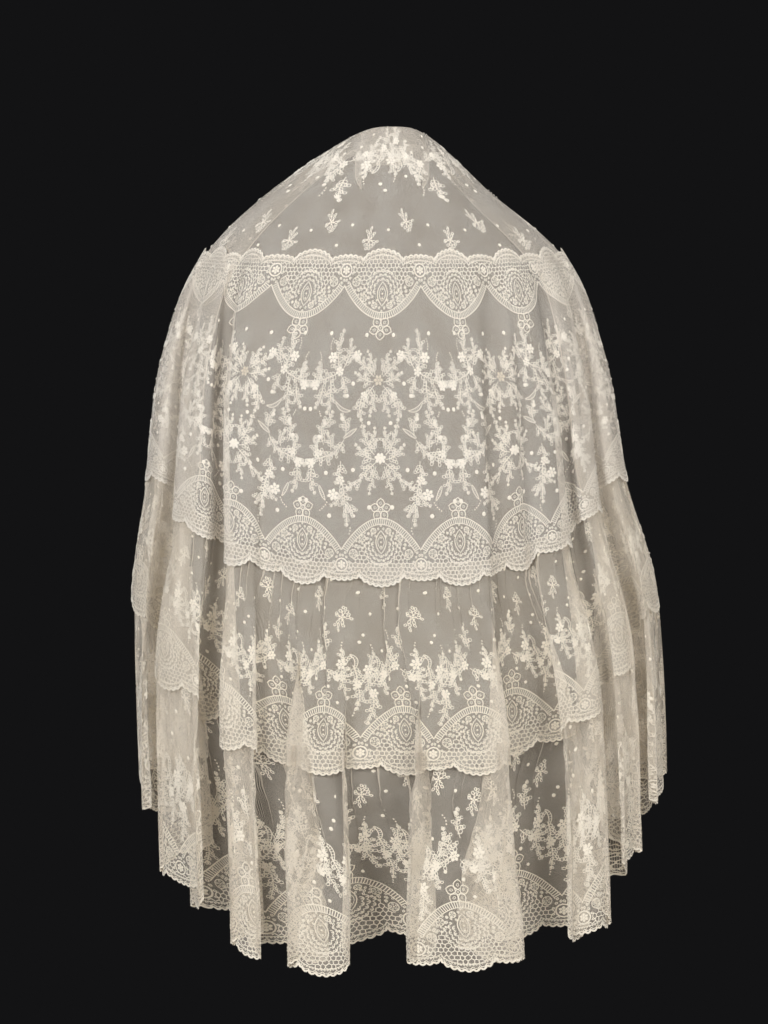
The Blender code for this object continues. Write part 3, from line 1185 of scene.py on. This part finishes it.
class Laid(NamedTuple):
    """A chart, repeated over the width. It is measured up from the lower line of cusps or, from
    the top, down from the upper one. Where it is mirrored in turn, each second repeat is flipped."""

    work: Work
    repeats: int
    from_top: bool = False
    mirrored_in_turn: bool = False


def stacked(parts):
    """Parts joined into one: shares across, millimetres down, lifts with stitch places, and
    triangles."""
    starts = np.cumsum([0] + [len(part[0]) for part in parts[:-1]])
    renumbered = [(*part[:3], part[3] + start) for part, start in zip(parts, starts)]
    return tuple(map(np.concatenate, zip(*renumbered)))


def repeated(cloth, laid):
    """All repeats of a chart, without the triangles that pass the piece's ends."""
    parts = []
    for index in range(-1, laid.repeats + 1):
        work = laid.work
        if laid.mirrored_in_turn and (index - laid.repeats // 2) % 2 == 1:
            # The chart runs from a medallion's middle to the next one's
            work = moved(work, x=REPEAT, mirrored=True)
        share = (index + 0.5 + work.points[:, 0] / REPEAT) / laid.repeats
        inside = (share[work.faces] >= 0).all(axis=1) & (share[work.faces] <= 1).all(axis=1)
        along = (0 if laid.from_top else cloth.height) - work.points[:, 1]
        parts.append((share, along, work.points[:, 2:], work.faces[inside]))
    return stacked(parts)


END_STEPS = 40
END_WIDTH = 2.2
END_INSET = 0.0015  # of the cloth's width


def end_edges(cloth):
    """The plain rolled edges down both ends of a piece, as parts."""
    down = np.linspace(0, cloth.height, END_STEPS)
    work = thread(np.stack([np.zeros(END_STEPS), down], axis=1), END_WIDTH)
    for end in (END_INSET, 1 - END_INSET):
        share = end + work.points[:, 0] / cloth.width
        yield share, work.points[:, 1], work.points[:, 2:], work.faces


def embroidery_object(cloth, name, parts, material):
    across, along, rest, faces = stacked(parts)
    used = np.zeros(len(across), bool)
    used[faces.ravel()] = True
    faces = (np.cumsum(used) - 1)[faces]
    across, along, rest = across[used], along[used], rest[used]
    points = cloth.place(across, along, rest[:, 0])
    print(f"{name}: {len(faces)} triangles")
    return mesh_object(name, points, faces, rest[:, 1:3], material)


# Materials


def new_material(name, colour, roughness):
    material = bpy.data.materials.new(name)
    material.use_nodes = True
    shader = material.node_tree.nodes["Principled BSDF"]
    shader.inputs["Base Color"].default_value = (*colour, 1)
    shader.inputs["Roughness"].default_value = roughness
    return material, material.node_tree, shader


def add_node(tree, kind, **values):
    """A node, with sockets given by number as i0, i1 and so on, and settings by name."""
    node = tree.nodes.new(kind)
    for key, value in values.items():
        if key[0] == "i" and key[1:].isdigit():
            node.inputs[int(key[1:])].default_value = value
        else:
            setattr(node, key, value)
    return node


def link(tree, source, target):
    tree.links.new(source, target)


def math_node(tree, operation, first, second=None):
    node = add_node(tree, "ShaderNodeMath", operation=operation)
    for socket, value in zip(node.inputs, (first, second)):
        if value is None:
            continue
        if isinstance(value, (int, float)):
            socket.default_value = value
        else:
            link(tree, value, socket)
    return node.outputs[0]


def mapped(tree, value, low, high, to_low, to_high):
    node = add_node(tree, "ShaderNodeMapRange", i1=low, i2=high, i3=to_low, i4=to_high)
    link(tree, value, node.inputs[0])
    return node.outputs[0]


NET_CELL = 1.0 * MM
NET_SHADES = ((0.80, 0.745, 0.68), (0.755, 0.69, 0.61))
NET_EDGE = 0.25  # either side of the closeness, over which a thread's edge fades
NET_MOTTLE = 24.0  # scale of the slow variation, as for the threads
NET_UNEVENNESS = 0.07
THREAD_SHADES = ((0.96, 0.912, 0.835), (0.895, 0.827, 0.725))
THREAD_MOTTLE = 0.08
STITCH = 1.35  # millimetres along a thread
STITCH_LEAN = 1.4
BUMP_DEPTH = 0.0002
NO_WARMTH = (1.0, 1.0, 1.0)
FLOUNCE_WARMTH = (1.0, 0.985, 0.945)  # the flounces' cloth against the panel's
NET_CLOSENESS = {  # higher makes thicker threads
    "neck_flounce": -0.52,
    "back_panel": -0.40,
    "first_flounce": -0.46,
    "hem_flounce": -0.78,
}


def honeycomb(tree, chart):
    """Three crossed waves: high in the holes of a hexagonal net, low on its threads."""
    total = None
    for degrees in (0, 60, 120):
        angle = math.radians(degrees)
        scale = 2 * math.pi / (NET_CELL * math.sqrt(3) / 2)
        direction = (math.cos(angle) * scale, math.sin(angle) * scale, 0)
        dot_product = add_node(tree, "ShaderNodeVectorMath", operation="DOT_PRODUCT", i1=direction)
        link(tree, chart, dot_product.inputs[0])
        wave = math_node(tree, "COSINE", dot_product.outputs["Value"])
        total = wave if total is None else math_node(tree, "ADD", total, wave)
    return total


def tinted(tree, shader, chart, shades, warmth, size):
    """Slow variation between two shades of the same ivory."""
    noise = add_node(tree, "ShaderNodeTexNoise")
    noise.inputs["Scale"].default_value = size
    noise.inputs["Detail"].default_value = 4
    link(tree, chart, noise.inputs["Vector"])
    mix = add_node(tree, "ShaderNodeMix", data_type="RGBA")
    for socket, shade in zip((6, 7), shades):
        colour = [value * share for value, share in zip(shade, warmth)]
        mix.inputs[socket].default_value = (*colour, 1)
    link(tree, mapped(tree, noise.outputs["Fac"], 0.35, 0.65, 0, 1), mix.inputs[0])
    link(tree, mix.outputs[2], shader.inputs["Base Color"])
    return noise


def raised(tree, shader, height, strength, invert):
    """Fine relief from a height."""
    bump = add_node(tree, "ShaderNodeBump")
    bump.inputs["Strength"].default_value = strength
    bump.inputs["Distance"].default_value = BUMP_DEPTH
    bump.invert = invert
    link(tree, height, bump.inputs["Height"])
    link(tree, bump.outputs["Normal"], shader.inputs["Normal"])


def cotton(name, colour, roughness, sheen, sheen_roughness):
    """A matt material, its parts, and the flat chart that it follows."""
    material, tree, shader = new_material(name, colour, roughness)
    shader.inputs["Sheen Weight"].default_value = sheen
    shader.inputs["Sheen Roughness"].default_value = sheen_roughness
    chart = add_node(tree, "ShaderNodeUVMap", uv_map="chart").outputs["UV"]
    return material, tree, shader, chart


def net_material(name, closeness, warmth):
    """Fine hexagonal net: threads with real holes. A higher closeness makes thicker threads."""
    material, tree, shader, chart = cotton(name, (0.80, 0.74, 0.62), 0.8, 0.25, 0.5)
    noise = tinted(tree, shader, chart, NET_SHADES, warmth, NET_MOTTLE)
    uneven = mapped(tree, noise.outputs["Fac"], 0.3, 0.7, -NET_UNEVENNESS, NET_UNEVENNESS)
    waves = math_node(tree, "ADD", honeycomb(tree, chart), uneven)
    solid = mapped(tree, waves, closeness - NET_EDGE, closeness + NET_EDGE, 1, 0)
    link(tree, solid, shader.inputs["Alpha"])
    raised(tree, shader, waves, 0.25, True)
    return material


def thread_material(name, warmth):
    """Matt cotton thread in chain stitches."""
    material, tree, shader, chart = cotton(name, (0.86, 0.80, 0.67), 0.62, 0.3, 0.4)
    tinted(tree, shader, chart, THREAD_SHADES, warmth, THREAD_MOTTLE)
    split = add_node(tree, "ShaderNodeSeparateXYZ")
    link(tree, chart, split.inputs[0])
    lean = math_node(tree, "MULTIPLY", math_node(tree, "ABSOLUTE", split.outputs["Y"]), STITCH_LEAN)
    along = math_node(tree, "MULTIPLY", split.outputs["X"], 2 * math.pi / STITCH)
    stitch = math_node(tree, "SINE", math_node(tree, "ADD", along, lean))
    raised(tree, shader, stitch, 0.5, False)
    return material


# Building the pieces


UPPER_BORDER_STRETCH = 1.09
TURNED_IN_SIZE = 0.42  # of the height of the border that is turned in at the neck
TURNED_IN_SCALLOP = 0.3  # of the depth of its scallops
TURNED_IN_REPEATS = 2
NECK_GARLANDS = 4
NECK_GARLAND_STRETCH = 1.04
NECK_GARLAND_SHIFT = -12.0
NECK_SPRIGS = 7
NECK_SPRIG_SHIFT = 13.0


def build_cloth():
    one_border, one_garland, one_sprigs = border(), garland(), sprigs()
    for name, work in (("border", one_border), ("garland", one_garland), ("sprigs", one_sprigs)):
        print(f"{name}: {len(work.faces)} triangles a repeat")
    turned_border = upside_down(stretched(one_border, TURNED_IN_SIZE, TURNED_IN_SCALLOP))
    neck_garland = moved(stretched(one_garland, NECK_GARLAND_STRETCH), y=NECK_GARLAND_SHIFT)
    neck_sprigs = moved(one_sprigs, y=NECK_SPRIG_SHIFT)
    upper_border = upside_down(stretched(one_border, UPPER_BORDER_STRETCH))
    flounce_sprays = joined([one_garland, one_sprigs])
    layers = {
        NECK: (
            [Laid(turned_border, TURNED_IN_REPEATS, from_top=True)],
            [
                Laid(upside_down(neck_garland), NECK_GARLANDS, from_top=True),
                Laid(upside_down(neck_sprigs), NECK_SPRIGS, from_top=True),
            ],
        ),
        PANEL: (
            [
                Laid(one_border, PANEL.repeats),
                Laid(upper_border, PANEL.top_repeats, from_top=True),
            ],
            [Laid(panel_sprays(), PANEL.repeats, mirrored_in_turn=True)],
        ),
        FIRST: ([Laid(one_border, FIRST.repeats)], [Laid(flounce_sprays, FIRST.repeats)]),
        HEM: ([Laid(one_border, HEM.repeats)], [Laid(flounce_sprays, HEM.repeats)]),
    }
    for seed, (piece, (borders, sprays)) in enumerate(layers.items(), 1):
        cloth = Cloth(piece, seed)
        warmth = FLOUNCE_WARMTH if piece in (FIRST, HEM) else NO_WARMTH
        net = net_object(cloth, net_material(piece.node + "_net", NET_CLOSENESS[piece.node], warmth))
        material = thread_material(piece.node + "_thread", warmth)
        edged = [repeated(cloth, laid) for laid in borders] + list(end_edges(cloth))
        strewn = [repeated(cloth, laid) for laid in sprays]
        works = [
            embroidery_object(cloth, piece.node + "_border", edged, material),
            embroidery_object(cloth, piece.node + "_sprays", strewn, material),
        ]
        for made in (net, *works):
            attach(made, "root")
        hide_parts(piece.node)
        flat = (cloth.width * MM, max(cloth.height, cloth.mean_height) * MM)
        triangles = 2 * len(net.data.polygons)
        print(f"{piece.node}: flat {flat[0]:.3f} x {flat[1]:.3f} m, {triangles} triangles")


# The room


CAMERA_DISTANCE = 2.3
CAMERA_HEIGHT = -0.452
METRES_PER_PIXEL = 0.0012  # at the middle of the body
PHOTO_WIDTH, PHOTO_HEIGHT = 768, 1024
CENTRE_LINE = 392  # pixel column of the garment's middle
FLOOR_RADIUS = 1.3
FLOOR_DEPTH = 0.02
FLOOR_MIDDLE = (0, 0, -1.46)  # below the view
BACKDROP = (0.0065, 0.0065, 0.007)
SEE_THROUGH_STEPS = 48  # enough for every layer of net


def add_camera():
    data = bpy.data.cameras.new("camera")
    data.sensor_fit = "VERTICAL"
    data.sensor_height = 24
    data.lens = data.sensor_height * CAMERA_DISTANCE / (PHOTO_HEIGHT * METRES_PER_PIXEL)
    data.shift_x = (PHOTO_WIDTH / 2 - CENTRE_LINE) / PHOTO_HEIGHT
    camera = bpy.data.objects.new("camera", data)
    camera.location = (0, -CAMERA_DISTANCE, CAMERA_HEIGHT)
    camera.rotation_euler = (math.radians(90), 0, 0)
    bpy.context.scene.collection.objects.link(camera)
    bpy.context.scene.camera = camera


def add_floor():
    bpy.ops.mesh.primitive_cylinder_add(
        vertices=96, radius=FLOOR_RADIUS, depth=FLOOR_DEPTH, location=FLOOR_MIDDLE
    )
    floor = bpy.context.object
    floor.name = "floor"
    material, _, _ = new_material("floor", (0.62, 0.61, 0.59), 0.7)
    floor.data.materials.append(material)


class Light(NamedTuple):
    name: str
    x: float
    y: float
    z: float
    size: float
    power: float
    colour: tuple


LIGHTS = rows_of(
    Light,
    ("key", -1.7, -2.5, 0.6, 1.4, 70, (1.0, 0.985, 0.96)),
    ("fill", 1.9, -2.2, 0.1, 1.8, 51, (1.0, 0.968, 0.915)),
    ("top", 0.0, -0.4, 1.7, 1.4, 12, (1.0, 0.99, 0.97)),
    ("left_front", -1.8, 2.0, 0.6, 1.6, 26, (0.97, 0.98, 1.0)),
    ("right_front", 1.8, 2.2, 0.4, 1.6, 28, (1.0, 0.96, 0.90)),
)
AIM = (0.0, 0.0, -0.5)


def add_lights():
    for light in LIGHTS:
        data = bpy.data.lights.new(light.name, "AREA")
        data.size = light.size
        data.energy = light.power
        data.color = light.colour
        lamp = bpy.data.objects.new(light.name, data)
        lamp.location = (light.x, light.y, light.z)
        toward = np.array(AIM) - (light.x, light.y, light.z)
        flat = math.hypot(toward[0], toward[1])
        lamp.rotation_euler = (math.atan2(flat, -toward[2]), 0, math.atan2(-toward[0], toward[1]))
        bpy.context.scene.collection.objects.link(lamp)


def add_world():
    world = bpy.data.worlds.new("studio")
    world.use_nodes = True
    background = world.node_tree.nodes["Background"]
    background.inputs["Color"].default_value = (*BACKDROP, 1)
    background.inputs["Strength"].default_value = 1.0
    bpy.context.scene.world = world


def clear_view():
    """Plain colours, and enough steps to see through every layer of net."""
    scene = bpy.context.scene
    scene.view_settings.view_transform = "Standard"
    if hasattr(scene, "cycles"):
        scene.cycles.transparent_max_bounces = SEE_THROUGH_STEPS


add_camera()
build_cloth()
add_floor()
add_lights()
add_world()
clear_view()
